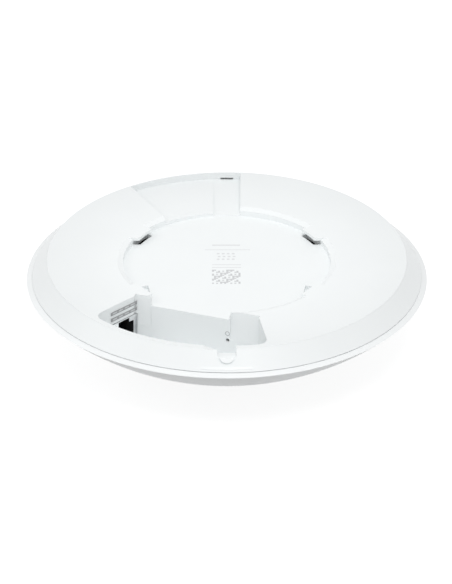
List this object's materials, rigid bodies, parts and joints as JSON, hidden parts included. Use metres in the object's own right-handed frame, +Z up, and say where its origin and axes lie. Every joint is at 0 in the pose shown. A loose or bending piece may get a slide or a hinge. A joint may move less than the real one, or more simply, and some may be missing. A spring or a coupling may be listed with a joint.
{
  "type": "ceiling access point",
  "caption": "Round domed ceiling wireless access point seen from its back, with a bayonet bracket recess, lock channel, cable bay, network socket and reset pinhole.",
  "frame": {"origin": "centre of the flat back face, on the plane that faces the ceiling", "axes": "+Z up towards the ceiling, along the dome's axis; +Y towards the lock channel; the cable bay is on the -Y side"},
  "size_m": [0.176, 0.176, 0.0444],
  "materials": {
    "cover_plastic": "fine satin",
    "shell_plastic": "fine satin",
    "gasket_rubber": "matt",
    "spreader_metal": "cast",
    "board_laminate": "solder resist",
    "screw_steel": "zinc",
    "can_steel": "tin plate",
    "chip_epoxy": "matt",
    "pad_silicone": "matt",
    "coil_ferrite": "matt",
    "capacitor_can": "satin",
    "led_lens": "clear",
    "guide_acrylic": "frosted",
    "socket_metal": "nickel",
    "socket_plastic": "matt",
    "contact_gold": "gold plate",
    "antenna_metal": "tin plate",
    "switch_plastic": "matt",
    "button_plastic": "matt"
  },
  "bodies": {
    "housing": {"back_cover": "cover_plastic", "front_shell": "shell_plastic", "seam_gasket": "gasket_rubber", "heat_spreader": "spreader_metal", "main_board": "board_laminate", "board_screws": "screw_steel", "light_guide": "guide_acrylic", "processor_can": "can_steel", "radio_can_a": "can_steel", "radio_can_b": "can_steel", "processor": "chip_epoxy", "radio_chip_a": "chip_epoxy", "radio_chip_b": "chip_epoxy", "memory_chips": "chip_epoxy", "chip_pads": "pad_silicone", "can_pads": "pad_silicone", "flash_chip": "chip_epoxy", "power_chip": "chip_epoxy", "lan_transformer": "chip_epoxy", "power_inductors": "coil_ferrite", "bulk_capacitors": "capacitor_can", "status_led": "led_lens", "jack_shell": "socket_metal", "jack_insert": "socket_plastic", "jack_contacts": "contact_gold", "antenna_a": "antenna_metal", "antenna_b": "antenna_metal", "antenna_c": "antenna_metal", "antenna_d": "antenna_metal", "reset_switch_base": "switch_plastic", "reset_switch_cover": "screw_steel"},
    "reset_button": {"reset_plunger": "button_plastic"}
  },
  "joints": [
    {"name": "reset_press", "type": "slide", "parent": "housing", "child": "reset_button", "axis": [0.3433, 0.9392, 0], "range_m": [0, 0.00025], "stiffness_N_per_m": 4000, "springref_m": -0.0001}
  ]
}
